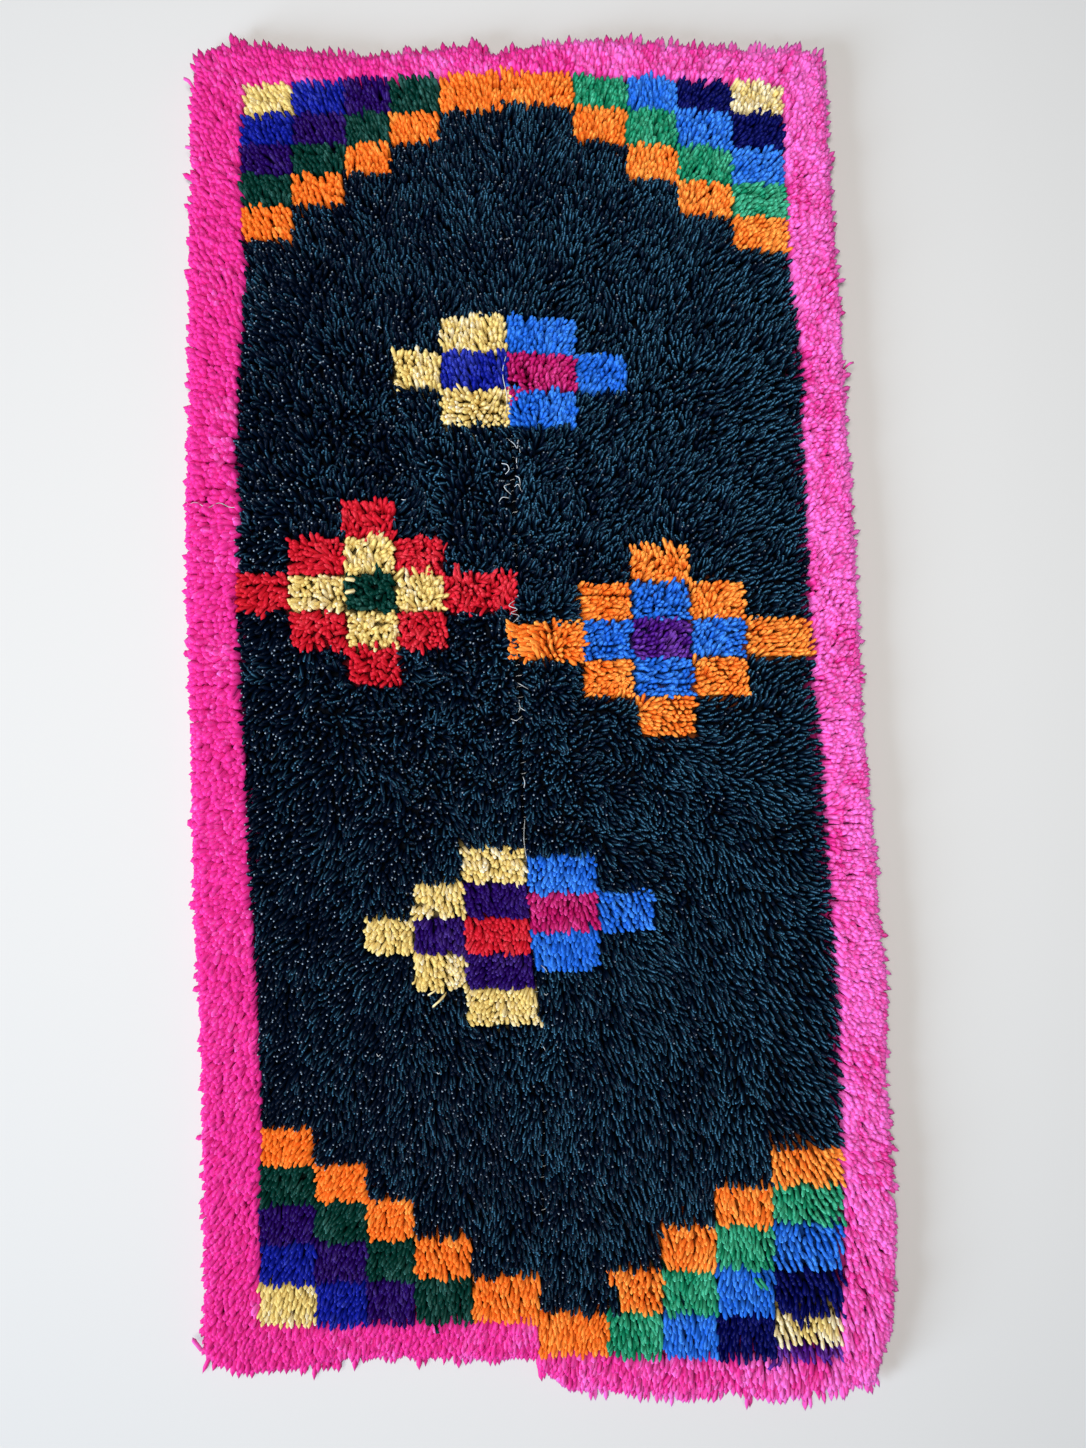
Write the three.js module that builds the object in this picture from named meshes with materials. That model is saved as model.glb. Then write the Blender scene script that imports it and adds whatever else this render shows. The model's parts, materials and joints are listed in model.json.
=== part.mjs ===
// A wangden rug lying flat: two narrow strips of thick cut pile, woven one by one and sewn edge to edge.
// Millimetres, +Z up. The head end points to +Y and the foot end to -Y. The origin is on the floor, under the middle
// of the rug's outline, which is drawn round the tips of the pile.

import * as THREE from 'three';

// Heights above the floor.
const PILE_TOP = 29;
const PILE_UNEVENNESS = 0.9;

// The seam: the two selvedges lie this far apart.
const SEAM_GAP = 0.3;

// Every stretch between two sections is cut into this many steps, so that the top can be uneven.
const STEPS_PER_STRETCH = 2;

// The sections stand this far apart along the rug, and the first is this far from the middle. The head and the foot
// lie beyond the first and the last.
const FIRST_SECTION_Y = 660;
const SECTION_PITCH = 110;

// Where the pile reaches across the rug, a row for each section from head to foot.
const SECTIONS = [
  { left: -382, seam: -43, right: 312 },
  { left: -383, seam: -41, right: 319 },
  { left: -383, seam: -39, right: 328 },
  { left: -384, seam: -33, right: 333 },
  { left: -387, seam: -27, right: 341 },
  { left: -386, seam: -25, right: 347 },
  { left: -382, seam: -22, right: 352 },
  { left: -380, seam: -18, right: 363 },
  { left: -377, seam: -12, right: 369 },
  { left: -371, seam: 0, right: 373 },
  { left: -369, seam: 3, right: 381 },
  { left: -368, seam: 2, right: 387 },
  { left: -367, seam: -2, right: 378 },
];
const HEAD = { left: -376, seam: -44, right: 307 };
const FOOT = { left: -365, seam: -4, right: 366 };

// How far the pile reaches at both ends of a strip, from its left side (across 0) to its right side (across 1).
const LEFT_STRIP_ENDS = [
  { across: 0, head: 719, foot: -687 },
  { across: 0.1, head: 737, foot: -705 },
  { across: 0.25, head: 731, foot: -701 },
  { across: 0.4, head: 724, foot: -694 },
  { across: 0.55, head: 721, foot: -692 },
  { across: 0.75, head: 727, foot: -693 },
  { across: 0.9, head: 734, foot: -693 },
  { across: 1, head: 723, foot: -692 },
];
const RIGHT_STRIP_ENDS = [
  { across: 0, head: 724, foot: -701 },
  { across: 0.1, head: 730, foot: -725 },
  { across: 0.3, head: 737, foot: -727 },
  { across: 0.45, head: 736, foot: -732 },
  { across: 0.55, head: 734, foot: -722 },
  { across: 0.7, head: 730, foot: -736 },
  { across: 0.8, head: 727, foot: -737 },
  { across: 0.92, head: 731, foot: -723 },
  { across: 1, head: 719, foot: -720 },
];

// The edge of a strip in section, from the floor up: how far it stands back from the outline at each height. On a free
// edge the outer tufts lean out over the woven ground. At the seam the strips press together and part at the top.
const EDGE_PROFILE = [
  { z: 0, free: 16, sewn: 0 },
  { z: 4, free: 15, sewn: 0 },
  { z: 11, free: 5, sewn: 0 },
  { z: 17, free: 0, sewn: 0 },
  { z: 23, free: 3, sewn: 1 },
  { z: 27, free: 10, sewn: 5 },
];

// Points of a strip's outline seen from above, as rows of [x, y] from head to foot, each from left to right.
function planOf(leftSide, rightSide, ends) {
  const sections = [
    { left: leftSide(HEAD), right: rightSide(HEAD), heights: ends.map((end) => end.head) },
    ...SECTIONS.map((section, index) => ({
      left: leftSide(section),
      right: rightSide(section),
      heights: ends.map(() => FIRST_SECTION_Y - index * SECTION_PITCH),
    })),
    { left: leftSide(FOOT), right: rightSide(FOOT), heights: ends.map((end) => end.foot) },
  ];
  const { lerp } = THREE.MathUtils;
  const plan = [];
  for (let step = 0; step <= (sections.length - 1) * STEPS_PER_STRETCH; step += 1) {
    const before = sections[Math.floor(step / STEPS_PER_STRETCH)];
    const after = sections[Math.ceil(step / STEPS_PER_STRETCH)];
    const share = (step % STEPS_PER_STRETCH) / STEPS_PER_STRETCH;
    const left = lerp(before.left, after.left, share);
    const right = lerp(before.right, after.right, share);
    plan.push(ends.map(({ across }, column) => [
      lerp(left, right, across),
      lerp(before.heights[column], after.heights[column], share),
    ]));
  }
  return plan;
}

// The grid places round a plan's border, counter-clockwise from above, starting at the foot's left corner.
function borderOf(rowCount, columnCount) {
  const border = [];
  for (let column = 0; column < columnCount - 1; column += 1) border.push([rowCount - 1, column]);
  for (let row = rowCount - 1; row > 0; row -= 1) border.push([row, columnCount - 1]);
  for (let column = columnCount - 1; column > 0; column -= 1) border.push([0, column]);
  for (let row = 0; row < rowCount - 1; row += 1) border.push([row, 0]);
  return border;
}

// A closed solid from a plan: a flat underside, the edge profile all round and an uneven top.
function stripGeometry(plan, sewnColumn) {
  const rowCount = plan.length;
  const columnCount = plan[0].length;
  const lastRow = rowCount - 1;
  const lastColumn = columnCount - 1;
  const vertices = [];
  const triangles = [];

  // A border point moves back from the outline along X at a side and along Y at an end.
  const pointAt = (row, column, level) => {
    const sideInset = column === sewnColumn ? level.sewn : level.free;
    const [x, y] = plan[row][column];
    const insetX = (column === 0) * sideInset - (column === lastColumn) * sideInset;
    const insetY = (row === lastRow) * level.free - (row === 0) * level.free;
    return [x + insetX, y + insetY];
  };
  const addVertex = (x, y, z) => {
    vertices.push(x, y, z);
    return vertices.length / 3 - 1;
  };
  const addGrid = (level, heightAt) => plan.map((points, row) => points.map((_, column) => {
    const [x, y] = pointAt(row, column, level);
    const onBorder = row === 0 || row === lastRow || column === 0 || column === lastColumn;
    return addVertex(x, y, onBorder ? level.z : heightAt(row, column));
  }));
  const addGridFaces = (grid, facesUp) => {
    for (let row = 0; row < lastRow; row += 1) {
      for (let column = 0; column < lastColumn; column += 1) {
        const [a, b] = [grid[row][column], grid[row][column + 1]];
        const [c, d] = [grid[row + 1][column], grid[row + 1][column + 1]];
        triangles.push(...(facesUp ? [a, c, b, b, c, d] : [a, b, c, b, d, c]));
      }
    }
  };

  const border = borderOf(rowCount, columnCount);
  const bottom = addGrid(EDGE_PROFILE[0], () => EDGE_PROFILE[0].z);
  const rings = [border.map(([row, column]) => bottom[row][column])];
  for (const level of EDGE_PROFILE.slice(1, -1)) {
    rings.push(border.map(([row, column]) => addVertex(...pointAt(row, column, level), level.z)));
  }
  const top = addGrid(EDGE_PROFILE.at(-1), (row, column) => (
    PILE_TOP + PILE_UNEVENNESS * Math.sin(1.9 * row + 2.3 * column)
  ));
  rings.push(border.map(([row, column]) => top[row][column]));

  addGridFaces(bottom, false);
  addGridFaces(top, true);
  for (let level = 0; level < rings.length - 1; level += 1) {
    const [lower, upper] = [rings[level], rings[level + 1]];
    for (let index = 0; index < border.length; index += 1) {
      const next = (index + 1) % border.length;
      triangles.push(lower[index], lower[next], upper[index], lower[next], upper[next], upper[index]);
    }
  }

  const geometry = new THREE.BufferGeometry();
  geometry.setAttribute('position', new THREE.Float32BufferAttribute(vertices, 3));
  geometry.setIndex(triangles);
  geometry.computeVertexNormals();
  return geometry;
}

// Near-black teal wool of the field, which covers most of either strip.
function fieldPile() {
  return new THREE.MeshStandardMaterial({ color: 0x0b2733, roughness: 0.9, metalness: 0 });
}

function leftStrip() {
  const plan = planOf((row) => row.left, (row) => row.seam - SEAM_GAP / 2, LEFT_STRIP_ENDS);
  const mesh = new THREE.Mesh(stripGeometry(plan, LEFT_STRIP_ENDS.length - 1), fieldPile());
  mesh.name = 'strip_left';
  return mesh;
}

function rightStrip() {
  const plan = planOf((row) => row.seam + SEAM_GAP / 2, (row) => row.right, RIGHT_STRIP_ENDS);
  const mesh = new THREE.Mesh(stripGeometry(plan, 0), fieldPile());
  mesh.name = 'strip_right';
  return mesh;
}

const rug = new THREE.Group();
rug.add(leftStrip(), rightStrip());

export default rug;
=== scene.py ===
"""Looks of a wangden rug: two woven strips of thick cut pile, sewn edge to edge, laid flat on a pale floor.

Metres, +Z up. The head end points to +Y and the foot end to -Y, and the rug's back is at zero.
Each yarn end of the pile is a small rounded tuft, placed knot by knot from a weaver's chart.
"""

import json
import math

import bpy
import numpy as np
from mathutils.kdtree import KDTree
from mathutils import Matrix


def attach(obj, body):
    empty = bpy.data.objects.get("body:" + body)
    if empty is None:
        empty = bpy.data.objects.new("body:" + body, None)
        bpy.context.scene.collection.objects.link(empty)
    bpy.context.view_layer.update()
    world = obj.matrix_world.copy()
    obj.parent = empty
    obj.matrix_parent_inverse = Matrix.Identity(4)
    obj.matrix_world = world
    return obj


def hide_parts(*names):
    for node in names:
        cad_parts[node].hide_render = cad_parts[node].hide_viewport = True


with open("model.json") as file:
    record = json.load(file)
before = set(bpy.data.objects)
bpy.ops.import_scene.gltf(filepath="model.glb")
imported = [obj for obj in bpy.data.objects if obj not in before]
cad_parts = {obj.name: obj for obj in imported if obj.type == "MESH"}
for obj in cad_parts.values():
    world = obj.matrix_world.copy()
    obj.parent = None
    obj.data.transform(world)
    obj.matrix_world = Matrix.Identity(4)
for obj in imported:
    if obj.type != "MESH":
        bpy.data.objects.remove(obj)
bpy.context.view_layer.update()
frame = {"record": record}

bl_info = {
    "name": "Wangden Rug",
    "version": (1, 0, 0),
    "blender": (4, 5, 0),
    "location": "3D View > Sidebar > Rug",
    "description": "Builds a shaggy rug of two sewn pile strips around its packed model",
    "category": "Add Mesh",
}

BODY = "root"
MM = 0.001
MATERIALS = {row["slot"]: row for row in frame["record"]["materials"]}

# Columns of the tables below that aren't lengths.
COUNTS = ("row", "across")


def table(columns, *rows):
    """A table whose lengths are given in millimetres, as one array of metres for each named column."""
    names = columns.split()
    return {
        name: np.array(values, float) * (1 if name in COUNTS else MM)
        for name, values in zip(names, zip(*rows))
    }


def read(rows, column, at, by="y"):
    """A column's value at a place between a table's rows."""
    order = np.argsort(rows[by])
    return np.interp(at, rows[by][order], rows[column][order])


# Where the tips of the pile reach across the rug, from head to foot.
OUTLINE = table(
    "y left seam right",
    (728, -376, -44, 307),
    (660, -382, -43, 312),
    (550, -383, -41, 319),
    (440, -383, -39, 328),
    (330, -384, -33, 333),
    (220, -387, -27, 341),
    (110, -386, -25, 347),
    (0, -382, -22, 352),
    (-110, -380, -18, 363),
    (-220, -377, -12, 370),
    (-285, -373, -5, 379),
    (-330, -371, 0, 380),
    (-370, -370, 1, 376),
    (-440, -369, 3, 382),
    (-550, -368, 2, 389),
    (-660, -367, -2, 385),
    (-705, -365, -4, 368),
)

# How far the tips reach at both ends of a strip, from its left side (across 0) to its right side (across 1).
LEFT_ENDS = table(
    "across head foot",
    (0, 723, -690),
    (0.1, 737, -711),
    (0.25, 733, -706),
    (0.4, 727, -694),
    (0.55, 721, -692),
    (0.75, 727, -693),
    (0.9, 734, -693),
    (1, 723, -692),
)
RIGHT_ENDS = table(
    "across head foot",
    (0, 725, -702),
    (0.1, 734, -728),
    (0.3, 740, -731),
    (0.45, 737, -740),
    (0.55, 736, -730),
    (0.7, 731, -742),
    (0.8, 727, -735),
    (0.92, 732, -722),
    (1, 723, -719),
)

# The line between the pink border and the field at either side of the rug.
BORDER = table(
    "y left right",
    (687, -320, 260),
    (633, -325, 263),
    (523, -323, 268),
    (477, -317, 271),
    (448, -322, 275),
    (385, -326, 284),
    (293, -331, 284),
    (234, -326, 288),
    (117, -328, 292),
    (84, -327, 298),
    (40, -325, 296),
    (-35, -321, 305),
    (-180, -315, 315),
    (-290, -307, 322),
    (-440, -302, 328),
    (-512, -304, 327),
    (-555, -304, 331),
    (-652, -303, 327),
)

# The lines between the chart's block columns inside a strip, counted from its left side.
LEFT_BLOCKS = table(
    "y c1 c2 c3 c4",
    (671, -268, -211, -164, -109),
    (380, -270, -214, -158, -107),
    (142, -273, -212, -156, -104),
    (-193, -253, -191, -137, -82),
    (-625, -242, -187, -136, -74),
)
RIGHT_BLOCKS = table(
    "y c1 c2 c3 c4",
    (671, 36, 93, 148, 206),
    (380, 38, 92, 150, 212),
    (88, 43, 99, 163, 222),
    (-193, 63, 123, 181, 242),
    (-668, 73, 133, 192, 255),
)

# Where a knot row lies along the rug, at the border and at the seam. Row 0 is the first below the head
# border.
LEFT_ROWS = table(
    "row border seam",
    (0, 685, 698),
    (3, 654, 658),
    (9, 589, 593),
    (15, 520, 523),
    (22, 435, 436),
    (31, 319, 320),
    (37, 237, 237),
    (43, 158, 158),
    (52, 39, 39),
    (65, -138, -136),
    (71, -213, -212),
    (80, -331, -328),
    (88, -440, -428),
    (94, -525, -506),
    (100, -610, -599),
    (103, -655, -649),
)
RIGHT_ROWS = table(
    "row border seam",
    (0, 686, 701),
    (3, 653, 667),
    (9, 577, 593),
    (15, 507, 520),
    (21, 428, 436),
    (30, 313, 317),
    (40, 192, 187),
    (46, 112, 105),
    (55, -14, -18),
    (64, -139, -145),
    (73, -266, -268),
    (86, -462, -458),
    (92, -544, -547),
    (98, -644, -638),
    (101, -692, -685),
)

# The weaver's charts. A letter is one block, three knot rows high, and a line runs from a strip's left side
# to its right side. The number is the knot row in which the first line starts, and a dot is the dark field.
ROWS_IN_BLOCK = 3
LEFT_CHART = {
    0: ("cypgo", "ypgo.", "pgo..", "go...", "o...."),
    22: ("....c", "...cy", "....c"),
    37: ("..r..", ".rcr.", "rcgcr", ".rcr.", "..r.."),
    65: ("....c", "...cp", "..cpr", "...cp", "....c"),
    88: ("o....", "go...", "pgo..", "ypgo.", "cypgo"),
}
RIGHT_CHART = {
    0: ("oebnc", ".oebn", "..oeb", "...oe", "....o"),
    21: ("b....", "kb...", "b...."),
    40: ("..o..", ".obo.", "obvbo", ".obo.", "..o.."),
    64: ("b....", "kb...", "b...."),
    86: ("....o", "...oe", "..oeb", ".oebn", "oebnc"),
}

# Knots that leave the pattern of the blocks: first row and knot, row and knot after the last, and their
# letter.
RIGHT_EXCEPTIONS = (
    (96, 7, 98, 8, "."),
    (100, 22, 101, 27, "v"),
)

# The yarn of each letter, and the letters of the dark field and of the pink border.
YARNS = {
    "c": "cream",
    "y": "royal",
    "p": "purple",
    "g": "dark_green",
    "o": "orange",
    "e": "emerald",
    "b": "blue",
    "n": "navy",
    "k": "crimson",
    "r": "red",
    "v": "violet",
}
FIELD = "."
PINK = "*"

# Block columns in a strip, knots across the border and across a block column, and knot rows in the border at
# the head. The block column beside the seam is wider.
BLOCK_COLUMNS = 5
BORDER_KNOTS = 5
BLOCK_KNOTS = 5
SEAM_BLOCK_KNOTS = 7
HEAD_BORDER_ROWS = 4

# Ends of yarn that stand up from a knot. Across it they are evenly spaced. Along it each stands this many
# spaces further than the one before, and past the last space it starts over.
BORDER_ENDS = 6
MOTIF_ENDS = 6
FIELD_ENDS = 5
STAGGER = 2

# A tuft in its length: how far along its rings stand, how wide they are as shares of the yarn's width, and
# how many sides they have.
TUFT_RINGS = {0.0: 0.6, 0.58: 0.94, 0.93: 0.95}
TUFT_SIDES = 4

# No part of a tuft lies lower than this, so none shows through the back of the ground.
TUFT_FLOOR = 0.3 * MM

# The tone map: yarn tones lie side by side in U, with a margin on either side of each, and V runs from a
# tuft's root to its tip. The closed root lies in a narrow band at the foot of the map.
TONES = 16
TONE_MARGIN = 0.06
ROOT_BAND = 0.02
BAKE_MAP = "OFBake"


class Strip:
    """One woven strip: where its knots lie in the plane of the pile's tips, and what they are."""

    def __init__(self, name, ends, blocks, rows, chart, exceptions, foot_border_rows, seed):
        self.name = name
        self.is_left = name == "left"
        self.ends = ends
        self.blocks = blocks
        self.rows = rows
        self.seed = seed
        self.row_count = int(rows["row"][-1])
        self.foot_border_rows = foot_border_rows
        widths = [BORDER_KNOTS] + [BLOCK_KNOTS] * (BLOCK_COLUMNS - 1) + [SEAM_BLOCK_KNOTS]
        self.stops = np.cumsum([0] + (widths if self.is_left else widths[::-1]))
        self.knot_count = int(self.stops[-1])
        self.letters = self._letters(chart, exceptions)

    def _letters(self, chart, exceptions):
        """The yarn letter of every knot, with the border's rows at both ends."""
        every_row = HEAD_BORDER_ROWS + self.row_count + self.foot_border_rows
        letters = np.full((every_row, self.knot_count), PINK)
        inside = letters[HEAD_BORDER_ROWS:HEAD_BORDER_ROWS + self.row_count]
        first = 1 if self.is_left else 0
        inside[:, self.stops[first]:self.stops[first + BLOCK_COLUMNS]] = FIELD
        for start, lines in chart.items():
            for line_number, line in enumerate(lines):
                top = start + line_number * ROWS_IN_BLOCK
                for block, letter in enumerate(line):
                    if letter == FIELD:
                        continue
                    columns = slice(self.stops[first + block], self.stops[first + block + 1])
                    inside[top:top + ROWS_IN_BLOCK, columns] = letter
        for row, knot, row_after, knot_after, letter in exceptions:
            inside[row:row_after, knot:knot_after] = letter
        return letters

    def other_beside(self):
        """Which knots have another yarn on their left, and which have one on their right."""
        differs = self.letters[:, 1:] != self.letters[:, :-1]
        return np.pad(differs, ((0, 0), (1, 0))), np.pad(differs, ((0, 0), (0, 1)))

    def outer(self, y):
        """Where the tips reach at the strip's free side."""
        return read(OUTLINE, "left" if self.is_left else "right", y)

    def seam(self, y):
        return read(OUTLINE, "seam", y)

    def across(self, x, y):
        """How far a place lies from the strip's left side, as a share of its width."""
        outer, seam = self.outer(y), self.seam(y)
        left, right = (outer, seam) if self.is_left else (seam, outer)
        return (x - left) / (right - left)

    def place(self, knot, row):
        """The place in the plane of the tips of a knot and row position, both counted with fractions."""
        share = knot / self.knot_count
        from_border = (knot - self.stops[1]) / (self.stops[-1] - self.stops[1])
        if not self.is_left:
            from_border = 1 - knot / self.stops[-2]
        towards_seam = np.clip(from_border, 0, 1)
        inside = np.clip(row, 0, self.row_count)
        at_border = read(self.rows, "border", inside, by="row")
        at_seam = read(self.rows, "seam", inside, by="row")
        y = at_border + (at_seam - at_border) * towards_seam
        head_share = np.clip(-row / HEAD_BORDER_ROWS, 0, None)
        foot_share = np.clip((row - self.row_count) / self.foot_border_rows, 0, None)
        y = y + (read(self.ends, "head", share, by="across") - y) * head_share
        y = y + (read(self.ends, "foot", share, by="across") - y) * foot_share
        lines = [self.outer(y), read(BORDER, "left" if self.is_left else "right", y)]
        inner = [read(self.blocks, column, y) for column in ("c1", "c2", "c3", "c4")]
        edges = lines + inner + [self.seam(y)]
        if not self.is_left:
            edges = [self.seam(y)] + inner + lines[::-1]
        edges = np.array(edges)
        band = np.clip(np.searchsorted(self.stops, knot, side="right") - 1, 0, len(self.stops) - 2)
        point = np.arange(knot.size)
        start, end = edges[band, point], edges[band + 1, point]
        x = start + (end - start) * (knot - self.stops[band]) / (self.stops[band + 1] - self.stops[band])
        return x, y

    def hang(self, columns, x, y):
        """How far the tips hang over at a place, read between five columns over the whole rug."""
        share = self.across(x, y)
        ends = ("left", "left_middle", "seam") if self.is_left else ("seam", "right_middle", "right")
        first, middle, last = (read(columns, name, y) for name in ends)
        return np.where(
            share < 0.5, first + (middle - first) * share * 2, middle + (last - middle) * (share * 2 - 1)
        )

    def free_edges(self, x, y):
        """For each free edge: its outward direction and how far inside it a place lies."""
        share = self.across(x, y)
        side = (x - self.outer(y)) * (1 if self.is_left else -1)
        yield (-1 if self.is_left else 1, 0), side
        yield (0, 1), read(self.ends, "head", share, by="across") - y
        yield (0, -1), y - read(self.ends, "foot", share, by="across")


STRIPS = (
    Strip("left", LEFT_ENDS, LEFT_BLOCKS, LEFT_ROWS, LEFT_CHART, (), foot_border_rows=4, seed=11),
    Strip(
        "right",
        RIGHT_ENDS,
        RIGHT_BLOCKS,
        RIGHT_ROWS,
        RIGHT_CHART,
        RIGHT_EXCEPTIONS,
        foot_border_rows=3,
        seed=23,
    ),
)


def length_setting(name, description, default):
    return bpy.props.FloatProperty(name=name, description=description, default=default, unit="LENGTH")


def colour_setting(name, description, default):
    return bpy.props.FloatVectorProperty(
        name=name, description=description, default=default, subtype="COLOR", size=3, min=0.0, max=1.0
    )


class RugSizes(bpy.types.PropertyGroup):
    """Sizes of the rug that a maker would change."""

    ground_thickness: length_setting(
        "Ground thickness", "Thickness of the woven ground that the knots are tied into", 3.6 * MM
    )
    pile_top: length_setting("Pile top", "Height above the floor at which the yarn ends are cut", 27.5 * MM)
    cut_unevenness: length_setting("Cut unevenness", "How far the yarn ends differ in height", 1.4 * MM)
    yarn_width: length_setting("Yarn width", "Width of one end of pile yarn near its tip", 5.1 * MM)
    tip_bow: length_setting(
        "Tip bow", "How far a yarn end bows over to one side between its bend and its tip", 10.0 * MM
    )
    lean_drift: bpy.props.FloatProperty(
        name="Lean drift",
        description="How much the lean of the pile wanders over the rug",
        default=0.05,
    )
    lean_scatter: bpy.props.FloatProperty(
        name="Lean scatter",
        description="How much the lean differs from one yarn end to the next",
        default=0.1,
    )
    pile_density: bpy.props.FloatProperty(
        name="Pile density",
        description="Share of the yarn ends that stand in the pile, where the others have worn away",
        subtype="FACTOR",
        min=0.0,
        max=1.0,
        default=1.0,
    )


class RugColours(bpy.types.PropertyGroup):
    """One colour for each yarn and thread, which starts from the record's finish."""

    __annotations__ = {
        slot: colour_setting(
            slot.replace("_", " ").capitalize(), row["finish"].capitalize(), tuple(row["base_color"][:3])
        )
        for slot, row in MATERIALS.items()
    }


class RugStage(bpy.types.PropertyGroup):
    """The floor, the light and the camera."""

    floor_colour: colour_setting("Floor colour", "Plain pale floor under the rug", (0.62, 0.61, 0.59))
    camera_height: length_setting("Camera height", "Height of the camera straight above the rug", 1.2)
    seen_length: length_setting(
        "Length in view", "Length that the picture spans in the plane of the pile's tips", 1.5638
    )


# An uneven field is a sum of waves, whose lengths differ by these factors.
WAVES = 9
WAVE_LENGTHS = (0.6, 1.7)


def wander(x, y, seed, reach):
    """A smooth uneven field over the rug with a spread of about one, whose swells are about reach apart."""
    rng = np.random.default_rng(seed)
    total = np.zeros_like(x)
    for _ in range(WAVES):
        turn = rng.uniform(0, math.tau)
        length = reach * rng.uniform(*WAVE_LENGTHS)
        phase = rng.uniform(0, math.tau)
        total += np.sin(math.tau * (x * math.cos(turn) + y * math.sin(turn)) / length + phase)
    return total / math.sqrt(WAVES / 2)


# How far the tips hang over to the right of their roots, and towards the head, at places over the rug: beside
# the left edge, in the middle of the left strip, at the seam, in the middle of the right strip and beside the
# right edge. The figures are for tufts as high as the hang height.
HANG_RIGHT = table(
    "y left left_middle seam right_middle right",
    (710, -1, -2, -0.5, 2.5, 3),
    (560, 0, 1, 1.5, 2.2, 2),
    (370, 1, 2.6, 1, 1.5, 1),
    (195, 1.5, 3, 1.5, 1, 0.5),
    (25, 1, 4, 1, 1, 0),
    (-150, 0, 2.2, 1, 0.5, 0.5),
    (-320, 0, 1.7, 2, 1, 1),
    (-515, 0.5, 1.3, 1.2, -3, 0.5),
    (-690, 2, 1.5, 0.5, -5, -2),
)
HANG_HEADWARD = table(
    "y left left_middle seam right_middle right",
    (710, 0, -1.2, -1.2, -1.5, -3.5),
    (560, -1.5, -1.5, -1.2, -1.2, -3),
    (370, -2.5, -1.2, -1.5, -0.7, -3),
    (195, -3, -1.5, -0.4, 1.2, 0.4),
    (25, -3.5, -1.5, -1.2, 1.6, 2.2),
    (-150, -3.5, -1.5, -1.2, -2.2, 3),
    (-320, -3, -1.5, -1.2, -2, 2),
    (-515, -2.5, -1.2, -1.2, -1.7, 3),
    (-690, -2, -1.2, -1.2, -1.2, 0),
)
HANG_HEIGHT = 24 * MM

# No root stands nearer to the tips' outline than the first of these, and the roots within the second of that
# limit are drawn in softly.
ROOT_INSET = 5.5 * MM
INSET_FADE = 10 * MM

# Beside a free edge the ends of a knot gather to a point: by the first share at the head and the foot, and by
# the second at the sides. Some of them reach further out than others, by a knot's part and an end's own part.
POINT_FADE = 12 * MM
POINT_GATHER = 0.2
SIDE_GATHER = 0.1
POINT_REACH = 2.0 * MM
KNOT_REACH = 0.7
END_REACH = 0.7

# How far the tips beside a free edge lean out beyond their own knots, by the direction in which the edge
# faces.
OVERHANG = {(-1, 0): 5 * MM, (1, 0): 5 * MM, (0, 1): 12 * MM, (0, -1): 15 * MM}

# How much lower the tips are near a free edge.
EDGE_DROP = table("inside drop", (-6, 14), (0, 10.5), (3, 5.5), (10, 1), (16, 0))

# How far the tips part at the seam, at places along it.
SEAM_PARTING = table(
    "y gap",
    (730, 0.5),
    (420, 0),
    (318, 0.5),
    (300, 3),
    (230, 2.5),
    (190, 1),
    (135, 1.5),
    (105, 3.5),
    (0, 3),
    (-150, 3),
    (-165, 0.5),
    (-330, 1),
    (-360, 1.8),
    (-730, 1.5),
)
PARTING_FADE = 9 * MM

# Places where the tips of one yarn splay out or lie over: the yarn's letter, the middle and reach of the
# place, the share by which it spreads, and how far all tips there move to the right and towards the head. The
# lengths are in millimetres. The move also bows the tufts over and, except in the border, raises their tips,
# by the shares below.
SPLAYS = (
    ("o", 0, 86, 36, 0.45, -4, 0),
    ("o", -25, 86, 24, -0.9, -9, 0),
    ("r", -187, 222, 30, 0.05, -3, 0),
    ("r", -72, 146, 34, 0.12, 0, 0),
    ("c", -72, 342, 34, 0.2, 0, -3),
    ("k", -30, 362, 14, 0.0, -2, -14),
    ("n", 287, -634, 9, 0.0, -5, -13),
    ("*", 200, -727, 15, 0.7, 0, 0),
    ("*", -366, 218, 10, 0.5, 0, 0),
)
SPLAY_BOW = 0.9
SPLAY_RISE = 0.15

# Yarn ends that have worked loose and lie over their neighbours: the strip, the yarn's letter, where the end
# comes out of the pile, where its tip lies and how high, in millimetres, and its width beside the usual one.
STRAY_ENDS = (
    ("left", "*", (-374, 686), (-388, 700, 17), 0.9),
    ("left", "*", (-371, 616), (-387, 626, 15), 0.9),
    ("left", "*", (-357, -685), (-380, -672, 15), 1.0),
    ("right", "*", (329, 384), (341, 391, 16), 0.6),
    ("right", "*", (342, 48), (355, 52, 16), 0.7),
    ("right", "*", (342, 43), (354, 43, 15), 0.7),
    ("left", "r", (-92, 153), (-92, 172, 29), 0.8),
    ("left", "r", (-107, 178), (-100, 194, 28), 0.5),
    ("left", "c", (-98, -290), (-117, -309, 28), 0.7),
    ("left", "c", (-106, -284), (-122, -296, 28), 0.6),
    ("left", "c", (-216, 155), (-199, 152, 30), 1.0),
    ("left", "c", (-216, 138), (-199, 141, 30), 1.0),
    ("left", "g", (-119, -634), (-110, -662, 26), 1.1),
    ("right", "e", (231, -593), (246, -614, 29), 0.8),
    ("right", "e", (228, -598), (240, -612, 29), 0.7),
    ("right", "v", (257, -684), (245, -704, 24), 1.0),
    ("right", "v", (262, -685), (253, -702, 24), 0.9),
    ("right", "v", (315, -677), (311, -690, 24), 0.8),
)

# The corner that a stray end cuts as it bends: its height, and its share of the way. The last figure is the
# end's tone.
STRAY_ARCH = 42 * MM
STRAY_BEND = 0.2
STRAY_TONE = 0.7

# How far a knot, and one of its ends, usually stands out of line.
KNOT_SHOVE = 0.8 * MM
END_SHOVE = 0.7 * MM

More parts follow.
